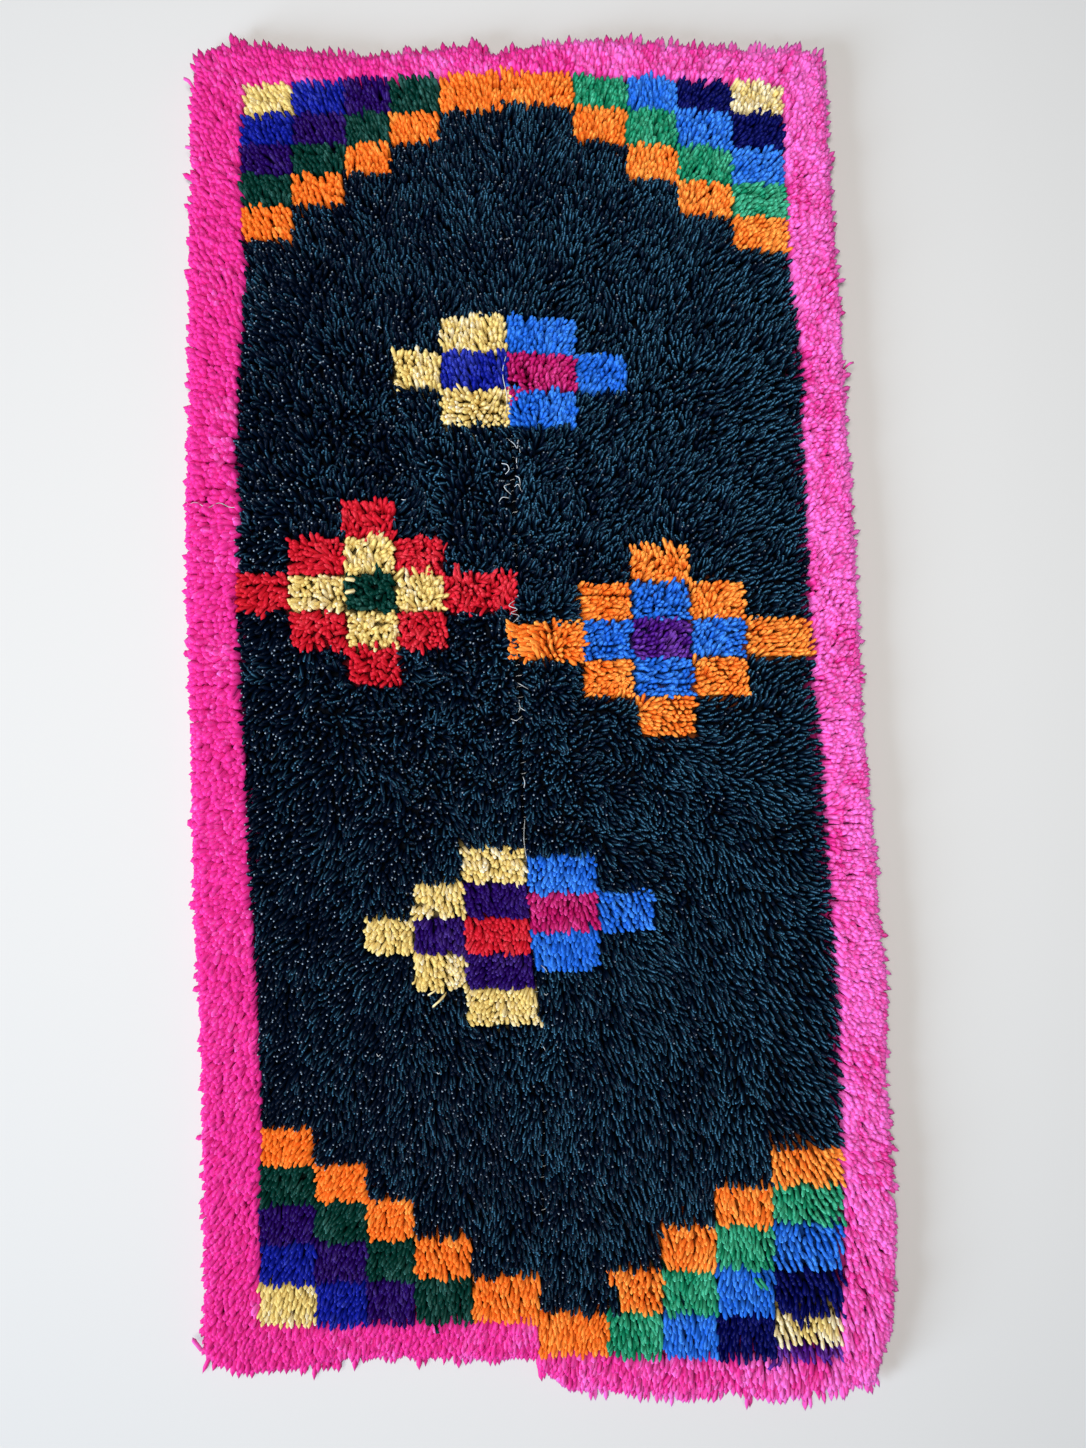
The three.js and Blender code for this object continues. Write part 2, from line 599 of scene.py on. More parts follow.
# The top of the pile swells by this much, in swells this far apart, and no end is cut lower or higher than
# this beside its neighbours.
SWELL_HEIGHT = 0.8 * MM
SWELL_REACH = 90 * MM
SWELL_SEED = 5
CUT_RANGE = (-4.5 * MM, 2.5 * MM)

# How deep a root sits in the ground, and how far it keeps from the seam.
ROOT_DEPTH = 1.2 * MM
SEAM_CLEARANCE = 1.8 * MM

# The lie of the pile wanders in swells of two sizes, and a knot leans by this much its own way.
LEAN_REACHES = (150 * MM, 55 * MM)
LEAN_SEEDS = (31, 47)
KNOT_LEAN = 0.04

# The pink yarn of the border is thicker than the rest by this factor. Every yarn's tufts differ in width by
# this spread, between the narrowest and the widest.
BORDER_YARN_WIDTH = 1.24
WIDTH_SPREAD = 0.09
WIDTH_RANGE = (0.75, 1.25)

# The border's tufts bow over further than the rest by this factor.
BORDER_BOW = 1.35

# Round the middle of the left edge the yarn has bloomed: it is wider by this share, and the ends of a knot
# keep together. The dark yarn is spun tighter and blooms less.
BLOOM_MIDDLE = (-330 * MM, 0)
BLOOM_REACH = (330 * MM, 520 * MM)
BLOOM_WIDENING = 0.14
BORDER_BLOOM_WIDENING = 0.5
LOBE_GATHER = 0.12
FIELD_BLOOM = 0.3

# How much of an end's own lean shows at its tip, and how far the roots of a knot gather towards its middle.
TIP_SHARE = 0.3
ROOT_GATHER = 0.35

# How far the crest of a tuft, which carries its painted highlight, usually lies from its upper side, as an
# angle.
CREST_TURN = 0.6

# The tone of the yarn, from dark to pale, which sets its painted highlights and painted sheen: its usual
# value, how much it grows with each metre to the right and towards the head, where the light from the side
# catches more of the tufts, and how much it differs over the rug, from knot to knot and from end to end. The
# border's knots and ends differ less, by a factor.
MIDDLE_TONE = 0.5
PAINTED_SHEEN_TO_RIGHT = 0.8
PAINTED_SHEEN_TO_HEAD = 0.08
AREA_TONE = 0.08
AREA_TONE_REACH = 70 * MM
AREA_TONE_SEED = 61
KNOT_TONE = 0.1
END_TONE = 0.17
BORDER_TONE = 0.6

# How far up a tuft bends over.
BEND_HEIGHT = 0.5

# The tops of the tufts fan out from the middle of the rug, like rays that start this far above it. Where they
# lean out by the full fan or more for each unit of height, the first share of the tip bow is theirs. The
# second share counts for each unit of that lean, so that the fan goes on growing outwards.
FAN_DISTANCE = 1.2
FULL_FAN = 0.12
FAN_SHARE = 0.85
FAR_FAN_SHARE = 0.6

# A tuft also has a bow of its own: a part that it shares with its area, a part that it shares with its knot
# and a part of its own. Along the rug it counts in full, and across it by the first share. The size of the
# bow differs from tuft to tuft within the last range.
AREA_BOW = 0.4
AREA_BOW_REACH = 50 * MM
AREA_BOW_SEEDS = (71, 73)
KNOT_BOW = 0.2
END_BOW = 0.85
BOW_SPREAD = np.array([[0.75], [1.0]])
BOW_RANGE = (0.8, 1.2)

# The pile is tousled round one place, and away from it the own bow is this share of what it is there.
TOUSLE_MIDDLE = (-170 * MM, 130 * MM)
TOUSLE_REACH = 240 * MM
CALM_SHARE = 0.22

# The share of the bow that shows at the tip: in the open, how much less with another yarn ahead of it, and
# how much more with one behind.
TIP_BOW = 0.5
AHEAD_CUT = 0.2
BEHIND_GAIN = 0.3


def ends_of_knots(rng, is_knot, ends, density):
    """The yarn ends of some knots: their row and knot, and where they stand in the knot, as shares of it."""
    row, knot, end = np.nonzero(rng.random((*is_knot.shape, ends)) < is_knot[..., None] * density)
    from_middle_x = (end + 0.5) / ends - 0.5
    from_middle_y = (end * STAGGER % ends + 0.5) / ends - 0.5
    return row, knot, from_middle_x, from_middle_y


def edge_share(inside):
    """How much a place feels a free edge: fully on it, and less and less inside it."""
    return np.exp(-np.clip(inside, 0, None) / POINT_FADE)


def bloom_at(x, y, letter):
    """How far the yarn has bloomed at a place, from 0 to 1."""
    across, along = (x - BLOOM_MIDDLE[0]) / BLOOM_REACH[0], (y - BLOOM_MIDDLE[1]) / BLOOM_REACH[1]
    return np.exp(-across ** 2 - along ** 2) * np.where(letter == FIELD, FIELD_BLOOM, 1.0)


def splay_at(strip, x, y, letter):
    """How far the tips lean out over the free edges, and lie over in the splayed places."""
    splay = np.zeros((2, x.size))
    for out, inside in strip.free_edges(x, y):
        splay += edge_share(inside) * OVERHANG[out] * np.array(out)[:, None]
    for name, middle_x, middle_y, reach, spread, *shift in SPLAYS:
        away = np.stack([x - middle_x * MM, y - middle_y * MM])
        distance = np.hypot(*away) / (reach * MM)
        near = np.exp(-distance ** 2) * (letter == name)
        splay += near * (away * distance * spread + np.array(shift)[:, None] * MM)
    return splay


def top_heights(strip, sizes, rng, x, y, rise):
    """The heights of the tips: uneven, raised where they lie over, and lower beside a free edge."""
    z = np.full(x.size, sizes.pile_top)
    z += wander(x, y, SWELL_SEED, SWELL_REACH) * SWELL_HEIGHT
    z += np.clip(rng.normal(0, sizes.cut_unevenness, x.size), *CUT_RANGE)
    z += rise
    drops = [read(EDGE_DROP, "drop", inside, by="inside") for _, inside in strip.free_edges(x, y)]
    return z - np.max(drops, axis=0)


def move_onto_ground(strip, root_x, root_y):
    """Moves the roots that would stand beside their own strip's ground on to it. Gives their places.

    The arrays are changed in place, because each edge goes by where the one before has left the roots.
    """
    for (out_x, out_y), inside in strip.free_edges(root_x, root_y):
        inwards = keep_inside(inside) - inside
        root_x -= out_x * inwards
        root_y -= out_y * inwards
    if strip.is_left:
        return np.minimum(root_x, strip.seam(root_y) - SEAM_CLEARANCE), root_y
    return np.maximum(root_x, strip.seam(root_y) + SEAM_CLEARANCE), root_y


def share_at_tip(strip, bow, row, knot, x, y):
    """The share of each bow that shows at the tip, while the rest shows at the bend.

    It is less with another yarn ahead, and more with one behind, so that neither tip nor stem crosses the
    line between them. Beside a free edge the tip stays on the outline.
    """
    to_left, to_right = (beside[row, knot] for beside in strip.other_beside())
    ahead, behind = np.where(bow[0] > 0, (to_right, to_left), (to_left, to_right))
    share = TIP_BOW - AHEAD_CUT * ahead + BEHIND_GAIN * behind
    for _, inside in strip.free_edges(x, y):
        share = np.minimum(share, TIP_BOW * (1 - edge_share(inside)))
    return share[:, None]


def lay_tufts(strip, sizes):
    """Where every yarn end of a strip starts, bends and stops, with its width, tone and letter."""
    rng = np.random.default_rng(strip.seed)
    is_border = strip.letters == PINK
    is_field = strip.letters == FIELD
    kinds = ((is_border, BORDER_ENDS), (is_field, FIELD_ENDS), (~(is_border | is_field), MOTIF_ENDS))
    groups = [ends_of_knots(rng, is_kind, ends, sizes.pile_density) for is_kind, ends in kinds]
    row, knot, from_middle_x, from_middle_y = (np.concatenate(column) for column in zip(*groups))
    count = row.size

    def draw_for_knots(*shape):
        """Random numbers for every knot of the strip, given to all its ends."""
        return rng.normal(0, 1, (*shape, *strip.letters.shape))[..., row, knot]

    letter = strip.letters[row, knot]
    is_pink = letter == PINK
    knot_middle = knot + 0.5
    row_middle = row + 0.5 - HEAD_BORDER_ROWS
    middle_x, middle_y = strip.place(knot_middle, row_middle)
    x, y = strip.place(knot_middle + from_middle_x, row_middle + from_middle_y)

    # Each knot stands a little out of line, which breaks up the rows, and so does each end.
    way_of_knot = draw_for_knots(2)
    own_reach = KNOT_REACH * draw_for_knots() + END_REACH * rng.normal(0, 1, count)
    shove = way_of_knot * KNOT_SHOVE + rng.normal(0, END_SHOVE, (2, count))
    x += shove[0]
    y += shove[1]

    # Where the yarn has bloomed, the ends of a knot keep together as one soft lobe.
    bloom = bloom_at(x, y, letter)
    x -= (x - middle_x) * bloom * LOBE_GATHER
    y -= (y - middle_y) * bloom * LOBE_GATHER

    # Beside a free edge the ends of a knot gather to a point.
    for (out_x, out_y), inside in strip.free_edges(x, y):
        near = edge_share(inside)
        if out_y:
            x -= (x - middle_x) * near * POINT_GATHER
        else:
            y -= (y - middle_y) * near * SIDE_GATHER
        x += out_x * near * own_reach * POINT_REACH
        y += out_y * near * own_reach * POINT_REACH

    splay = splay_at(strip, x, y, letter)
    x += splay[0]
    y += splay[1]

    # At the seam the tips part.
    to_seam = np.abs(x - strip.seam(y))
    parting = read(SEAM_PARTING, "gap", y) * np.exp(-to_seam / PARTING_FADE)
    x += parting * (-1 if strip.is_left else 1)

    z = top_heights(strip, sizes, rng, x, y, np.hypot(*splay) * SPLAY_RISE * ~is_pink)

    # How far the tip hangs over: by the lie of the pile, which wanders, and each knot and each end its own
    # way.
    root_z = np.full(count, sizes.ground_thickness - ROOT_DEPTH)
    height = z - root_z
    hang = np.stack([strip.hang(HANG_RIGHT, x, y), strip.hang(HANG_HEADWARD, x, y)]) / HANG_HEIGHT
    for axis, seed in enumerate(LEAN_SEEDS):
        swells = (wander(x, y, seed + step, reach) for step, reach in enumerate(LEAN_REACHES))
        hang[axis] += sum(swells) * sizes.lean_drift
    own_lean = way_of_knot * KNOT_LEAN + rng.normal(0, sizes.lean_scatter, (2, count))
    offset = (hang + own_lean) * height

    # A share of an end's own lean shows at its tip, and the rest moves its root.
    x += own_lean[0] * height * TIP_SHARE
    y += own_lean[1] * height * TIP_SHARE
    root_x, root_y = move_onto_ground(
        strip,
        x - (x - middle_x) * ROOT_GATHER - offset[0] - splay[0],
        y - (y - middle_y) * ROOT_GATHER - offset[1] - splay[1],
    )

    # The top of an end bows over, mostly the way it leans and outwards from the middle of the rug.
    fan = np.stack([x, y]) / FAN_DISTANCE + hang
    fan *= FAN_SHARE / np.maximum(np.hypot(*fan), FULL_FAN) + FAR_FAN_SHARE
    to_tousle = np.hypot(x - TOUSLE_MIDDLE[0], y - TOUSLE_MIDDLE[1])
    tousle = CALM_SHARE + (1 - CALM_SHARE) * np.exp(-(to_tousle / TOUSLE_REACH) ** 2)
    own_bow = AREA_BOW * np.stack([wander(x, y, seed, AREA_BOW_REACH) for seed in AREA_BOW_SEEDS])
    own_bow = (own_bow + KNOT_BOW * draw_for_knots(2) + END_BOW * rng.normal(0, 1, (2, count))) * BOW_SPREAD
    bow = sizes.tip_bow * (fan + own_bow * tousle) * rng.uniform(*BOW_RANGE, count) + splay * SPLAY_BOW
    bow *= np.where(is_pink, BORDER_BOW, 1.0)
    at_tip = share_at_tip(strip, bow, row, knot, x, y)
    bow = np.stack([*bow, np.zeros(count)], 1)

    root = np.stack([root_x, root_y, root_z], 1)
    upper = np.stack([x, y, z], 1)
    width = np.where(is_pink, BORDER_YARN_WIDTH, 1.0)
    width *= 1 + bloom * np.where(is_pink, BORDER_BLOOM_WIDENING, BLOOM_WIDENING)
    tone = rng.normal(0, END_TONE, count) + KNOT_TONE * draw_for_knots()
    tone *= np.where(is_pink, BORDER_TONE, 1.0)
    area_tone = AREA_TONE * wander(x, y, AREA_TONE_SEED, AREA_TONE_REACH)
    # The tone grows with place to the right and towards the head, which paints more sheen and highlight
    # there.
    tone += MIDDLE_TONE + area_tone + PAINTED_SHEEN_TO_RIGHT * x + PAINTED_SHEEN_TO_HEAD * y
    tufts = {
        "root": root,
        "bend": root + (upper - root) * BEND_HEIGHT - bow * (1 - at_tip),
        "tip": upper + bow * at_tip,
        "radius": sizes.yarn_width / 2 * width * np.clip(rng.normal(1.0, WIDTH_SPREAD, count), *WIDTH_RANGE),
        "turn": np.arctan2(bow[:, 1], bow[:, 0]) - math.pi + rng.normal(0, CREST_TURN, count),
        "tone": tone,
        "letter": letter,
    }
    strays = stray_tufts(strip, sizes)
    return {name: np.concatenate([values, strays[name]]) for name, values in tufts.items()}


def stray_tufts(strip, sizes):
    """The yarn ends of a strip that have worked loose, which arch over their neighbours."""
    rows = [row[1:] for row in STRAY_ENDS if row[0] == strip.name]
    letter, start, tip, width = (np.array(column) for column in zip(*rows))
    start, tip = start * MM, tip * MM
    count = len(rows)
    bow = tip[:, :2] - start
    return {
        "root": np.column_stack([start, np.full(count, sizes.ground_thickness)]),
        "bend": np.column_stack([start + bow * STRAY_BEND, np.full(count, STRAY_ARCH)]),
        "tip": tip,
        "radius": sizes.yarn_width / 2 * width,
        "turn": np.arctan2(bow[:, 1], bow[:, 0]) - math.pi,
        "tone": np.full(count, STRAY_TONE),
        "letter": letter,
    }


def keep_inside(inside):
    """How far inside the outline a root stands, once those nearest to the edge are drawn in."""
    limit = ROOT_INSET + INSET_FADE
    drawn_in = limit - INSET_FADE * (1 - np.exp(-(limit - inside) / INSET_FADE))
    return np.where(inside < limit, drawn_in, inside)


def pick(tufts, mask):
    return {name: values[mask] for name, values in tufts.items()}


def add_mesh(name, vertices, faces_by_size, maps_by_size):
    """A mesh object from arrays: faces and their map corners come as one array for each number of corners."""
    mesh = bpy.data.meshes.new(name)
    corners = np.concatenate([faces.ravel() for faces in faces_by_size])
    sizes = np.concatenate([np.full(len(faces), faces.shape[1]) for faces in faces_by_size])
    mesh.vertices.add(len(vertices))
    mesh.vertices.foreach_set("co", vertices.astype(np.float32).ravel())
    mesh.loops.add(len(corners))
    mesh.loops.foreach_set("vertex_index", corners.astype(np.int32))
    mesh.polygons.add(len(sizes))
    mesh.polygons.foreach_set("loop_start", (np.cumsum(sizes) - sizes).astype(np.int32))
    mesh.update(calc_edges=True)
    layer = mesh.uv_layers.new(name=BAKE_MAP)
    places = np.concatenate([corner.reshape(-1, 2) for corner in maps_by_size])
    layer.uv.foreach_set("vector", places.astype(np.float32).ravel())
    mesh.polygons.foreach_set("use_smooth", np.ones(len(sizes), bool))
    if mesh.validate():
        raise RuntimeError(f"{name} has faces that don't hold together")
    piece = bpy.data.objects.new(name, mesh)
    bpy.context.scene.collection.objects.link(piece)
    return piece


def unit(vectors):
    return vectors / np.linalg.norm(vectors, axis=-1, keepdims=True)


def tuft_mesh(name, tufts):
    """All tufts of one yarn as one mesh of rounded stems, each with a closed root, rings and a tip."""
    root, bend, tip = tufts["root"], tufts["bend"], tufts["tip"]
    count = len(root)
    rings = []
    for stop, width in TUFT_RINGS.items():
        middle = root * (1 - stop) ** 2 + bend * 2 * stop * (1 - stop) + tip * stop ** 2
        forward = unit((bend - root) * (1 - stop) + (tip - bend) * stop)
        side = unit(np.cross(forward, (0.0, 1.0, 0.0)))
        other = np.cross(forward, side)
        for corner in range(TUFT_SIDES):
            angle = (tufts["turn"] + corner * math.tau / TUFT_SIDES)[:, None]
            reach = (tufts["radius"] * width)[:, None]
            rings.append(middle + (side * np.cos(angle) + other * np.sin(angle)) * reach)
    vertices = np.stack(rings + [tip], 1)
    vertices[..., 2] = np.maximum(vertices[..., 2], TUFT_FLOOR)
    per_tuft = vertices.shape[1]
    apex = per_tuft - 1

    quads, quad_maps, triangles, triangle_maps = [], [], [], []
    levels = tuple(TUFT_RINGS) + (1.0,)
    last = len(TUFT_RINGS) - 1
    for corner in range(TUFT_SIDES):
        after = (corner + 1) % TUFT_SIDES
        start, end = corner / TUFT_SIDES, (corner + 1) / TUFT_SIDES
        for ring in range(last):
            low, high = ring * TUFT_SIDES, (ring + 1) * TUFT_SIDES
            below, above = levels[ring:ring + 2]
            quads.append((low + corner, low + after, high + after, high + corner))
            quad_maps.append(((start, below), (end, below), (end, above), (start, above)))
        high = last * TUFT_SIDES
        triangles.append((high + corner, high + after, apex))
        triangle_maps.append(((start, levels[-2]), (end, levels[-2]), ((start + end) / 2, 1.0)))

    # The closed root.
    quads.append(tuple(range(TUFT_SIDES))[::-1])
    quad_maps.append(((1.0, 0.0), (0.0, 0.0), (0.0, ROOT_BAND), (1.0, ROOT_BAND)))

    tone = np.clip(np.round(tufts["tone"] * (TONES - 1)), 0, TONES - 1)
    offset = (np.arange(count) * per_tuft)[:, None, None]
    faces = [(np.array(kind)[None] + offset).reshape(-1, len(kind[0])) for kind in (quads, triangles)]
    maps = []
    for kind in (quad_maps, triangle_maps):
        places = np.broadcast_to(np.array(kind)[None], (count, *np.array(kind).shape)).copy()
        places[..., 0] = (tone[:, None, None] + TONE_MARGIN + (1 - 2 * TONE_MARGIN) * places[..., 0]) / TONES
        maps.append(places)
    return add_mesh(name, vertices.reshape(-1, 3), faces, maps)


def smooth_line(points, steps):
    """A soft line through points, with this many steps from each to the next."""
    points = np.array(points, float)
    before = np.concatenate([points[:1], points[:-1]])
    after = np.concatenate([points[1:], points[-1:]])
    slope = (after - before) / 2
    share = (np.arange(steps) / steps)[None, :, None]
    start, end, leave, arrive = points[:-1, None], points[1:, None], slope[:-1, None], slope[1:, None]
    line = start * (2 * share ** 3 - 3 * share ** 2 + 1) + end * (3 * share ** 2 - 2 * share ** 3)
    line += leave * (share ** 3 - 2 * share ** 2 + share) + arrive * (share ** 3 - share ** 2)
    return np.concatenate([line.reshape(-1, 3), points[-1:]])


# A direction in which no thread runs, from which a tube's sides are turned.
ASIDE = (0.2, 0.1, 1.0)

# Where a thread lies in its own upright strip of the map: the margins beside it, below it and above it, and
# the heights and the radii of the small ovals that are its two round ends.
THREAD_SIDE_MARGIN = 0.1
THREAD_END_MARGIN = 0.05
THREAD_END_HEIGHTS = (0.02, 0.98)
THREAD_END_RADII = (0.3, 0.02)


def thread_mesh(name, lines, radius):
    """Threads along some lines as one mesh of thin closed tubes."""
    vertices, walls, ends, wall_maps, end_maps = [], [], [], [], []
    angles = np.arange(THREAD_SIDES) * math.tau / THREAD_SIDES
    count = 0
    for number, line in enumerate(lines):
        forward = unit(np.gradient(line, axis=0))
        side = unit(np.cross(forward, ASIDE))
        other = np.cross(side, forward)
        ring = side[:, None] * np.cos(angles)[:, None] + other[:, None] * np.sin(angles)[:, None]
        vertices.append((line[:, None] + ring * radius).reshape(-1, 3))
        index = count + np.arange(len(line) * THREAD_SIDES).reshape(len(line), THREAD_SIDES)
        after = np.roll(index, -1, 1)
        walls.append(np.stack([index[:-1], index[1:], after[1:], after[:-1]], -1).reshape(-1, 4))
        ends += [index[0], index[-1][::-1]]
        turn = (1 - 2 * THREAD_SIDE_MARGIN) * np.arange(THREAD_SIDES + 1) / THREAD_SIDES
        around = (number + THREAD_SIDE_MARGIN + turn) / len(lines)
        along = THREAD_END_MARGIN + (1 - 2 * THREAD_END_MARGIN) * np.arange(len(line)) / (len(line) - 1)
        u, v = np.meshgrid(around, along)
        place = np.stack([u, v], -1)
        corners = [place[:-1, :-1], place[1:, :-1], place[1:, 1:], place[:-1, 1:]]
        wall_maps.append(np.stack(corners, 2).reshape(-1, 4, 2))
        wide, high = THREAD_END_RADII
        oval = np.stack([np.cos(angles) * wide / len(lines), np.sin(angles) * high], -1)
        end_maps += [oval + ((number + 0.5) / len(lines), height) for height in THREAD_END_HEIGHTS]
        count += index.size
    return add_mesh(
        name,
        np.concatenate(vertices),
        [np.concatenate(walls), np.array(ends)],
        [np.concatenate(wall_maps), np.array(end_maps)],
    )


class Wire:
    """A shader socket in an expression, where the usual operators add Math nodes."""

    def __init__(self, finish, socket):
        self.finish = finish
        self.socket = socket

    def _with(self, operation, first, second):
        return self.finish.node("ShaderNodeMath", {"operation": operation}, {0: first, 1: second})

    def __add__(self, other):
        return self._with("ADD", self, other)

    def __radd__(self, other):
        return self._with("ADD", other, self)

    def __sub__(self, other):
        return self._with("SUBTRACT", self, other)

    def __rsub__(self, other):
        return self._with("SUBTRACT", other, self)

    def __mul__(self, other):
        return self._with("MULTIPLY", self, other)

    def __rmul__(self, other):
        return self._with("MULTIPLY", other, self)

    def __truediv__(self, other):
        return self._with("DIVIDE", self, other)

    def __rtruediv__(self, other):
        return self._with("DIVIDE", other, self)


# A Mix node's sockets and result for colours, by number, because those for numbers and vectors share their
# names.
FIRST_COLOUR, SECOND_COLOUR, MIXED_COLOUR = 6, 7, 2


class Finish:
    """A material in the making: one shader, and a method that adds any node it needs."""

    def __init__(self, name, **shader):
        self.material = bpy.data.materials.new(name)
        self.material.use_nodes = True
        self.tree = self.material.node_tree
        self.shader = self.tree.nodes["Principled BSDF"]
        for socket, value in shader.items():
            self.shader.inputs[socket.replace("_", " ").title().replace("Ior", "IOR")].default_value = value

    def node(self, kind, settings, sockets, output=0):
        """Adds a node: its settings first, then its sockets' values or links. Gives one of its outputs."""
        node = self.tree.nodes.new(kind)
        for name, value in settings.items():
            setattr(node, name, value)
        for name, value in sockets.items():
            self.plug(node.inputs[name], value)
        return Wire(self, node.outputs[output])

    def plug(self, socket, value):
        if isinstance(value, Wire):
            self.tree.links.new(value.socket, socket)
        else:
            socket.default_value = value

    def feed(self, socket, value):
        self.plug(self.shader.inputs[socket], value)

    def maths(self, operation, *values):
        return self.node("ShaderNodeMath", {"operation": operation}, dict(enumerate(values)))

    def ease(self, value, low, high, start=0.0, end=1.0):
        """A soft step between two values."""
        return self.node(
            "ShaderNodeMapRange",
            {"interpolation_type": "SMOOTHSTEP"},
            {"Value": value, "From Min": low, "From Max": high, "To Min": start, "To Max": end},
        )

    def mix(self, share, first, second):
        first, second = ((*value, 1.0) if isinstance(value, tuple) else value for value in (first, second))
        sockets = {"Factor": share, FIRST_COLOUR: first, SECOND_COLOUR: second}
        return self.node("ShaderNodeMix", {"data_type": "RGBA"}, sockets, output=MIXED_COLOUR)

    def map_place(self):
        """The two numbers of the piece's own map."""
        place = self.node("ShaderNodeUVMap", {"uv_map": BAKE_MAP}, {})
        return tuple(self.node("ShaderNodeSeparateXYZ", {}, {0: place}, output=axis) for axis in range(2))

    def point(self, x, y, z=0.0):
        return self.node("ShaderNodeCombineXYZ", {}, {0: x, 1: y, 2: z})

    def noise(self, place, scale, detail=2.0):
        return self.node("ShaderNodeTexNoise", {}, {"Vector": place, "Scale": scale, "Detail": detail})


def shade(colour, light):
    """A colour made darker, or lighter by mixing in white."""
    if light <= 1:
        return tuple(part * light for part in colour)
    return tuple(part + (1 - part) * (light - 1) for part in colour)


# Painted sheen: how much of its painted highlight colour a yarn of full tone takes on all round, where the
# light from the side catches it.
SHEEN = {"pink": 0.47, "field": 0.02}
OTHER_SHEEN = 0.28

# Painted shade in the depth of the pile: how light the stems of a yarn are painted at the root, beside their
# upper part.
PAINTED_ROOT_SHADE = {"pink": 0.5, "cream": 0.75, "orange": 0.7, "red": 0.8, "blue": 0.65, "field": 0.1}
OTHER_PAINTED_ROOT_SHADE = 0.5

# Painted shade on the flanks: how light a stem's flanks are painted beside its crest, which is turned to the
# upper side.
PAINTED_FLANK_SHADE = 0.83

# The colour of a yarn's painted highlights on its crest and at its cut end, which its painted sheen takes on
# too.
PAINTED_HIGHLIGHTS = {
    "field": (0.065, 0.22, 0.36),
    "pink": (1.0, 0.27, 0.86),
    "cream": (0.82, 0.88, 0.9),
    "royal": (0.07, 0.1, 0.6),
    "purple": (0.1, 0.05, 0.3),
    "dark_green": (0.06, 0.2, 0.17),
    "orange": (1.0, 0.55, 0.11),
    "emerald": (0.13, 0.68, 0.42),
    "blue": (0.09, 0.38, 1.0),
    "navy": (0.01, 0.014, 0.16),
    "crimson": (0.8, 0.08, 0.35),
    "red": (0.85, 0.08, 0.11),
    "violet": (0.28, 0.1, 0.55),
}

# The dark yarn of the field is painted with bright glints where its cut ends catch the light, on the ends
# whose tone is near this. The steps are those of the difference in tone over which the painted glints fade.
CUT_GLINT_COLOUR = (0.29, 0.36, 0.43)
CUT_GLINT_TONE = 0.25
CUT_GLINT_STEPS = (0.04, 0.09)
CUT_GLINT_STRENGTH = 0.9

# Where a stem changes on its way from root (0) to tip (1): where its painted root shade fades out, shows its
# painted sheen, shows its painted crest highlight, and where its cut end starts.
ROOT_SHADE_FADE = (0.2, 0.45)
SHEEN_FROM = (0.3, 0.6)
CREST_FROM = (0.66, 0.92)
CUT_END_FROM = (0.96, 0.985)

# Where a stem changes round its girth, in turns from the crest: where the painted crest highlight ends, and
# where the painted flank shade begins.
CREST_SIDES = (0.01, 0.1)
FLANK_SIDES = (0.06, 0.28)

# How strong the painted highlight on a crest is beside that at a cut end, and over which tones the painted
# crest highlights and the painted sheen come in.
CREST_STRENGTH = 0.7
CREST_TONES = (0.2, 1.0)
SHEEN_TONES = (0.4, 0.9)

# The fibres of a yarn: how many patches of them lie round a stem, along it and from one tone to the next, and
# how much they change its light. A yarn of full tone is darker all over by the tone cut: painted shade where
# the tone grows with place, and random where it differs from knot to knot and end to end.
FIBRE_PATCHES = (9, 5, 40)
FIBRE_CONTRAST = 0.3
YARN_LIGHT = 0.97
TONE_CUT = 0.04

# The twist of the two plies: how many there are, how many times they turn round each other in a stem, and how
# high they and the fibres stand up beside each other.
PLIES = 2
PLY_TURNS = 2.0
PLY_RELIEF = 0.6
FIBRE_RELIEF = 1.2

# How rough a yarn is at its smoothest fibres, and how much rougher at the others.
YARN_ROUGHNESS = 0.3
FIBRE_ROUGHNESS = 0.12


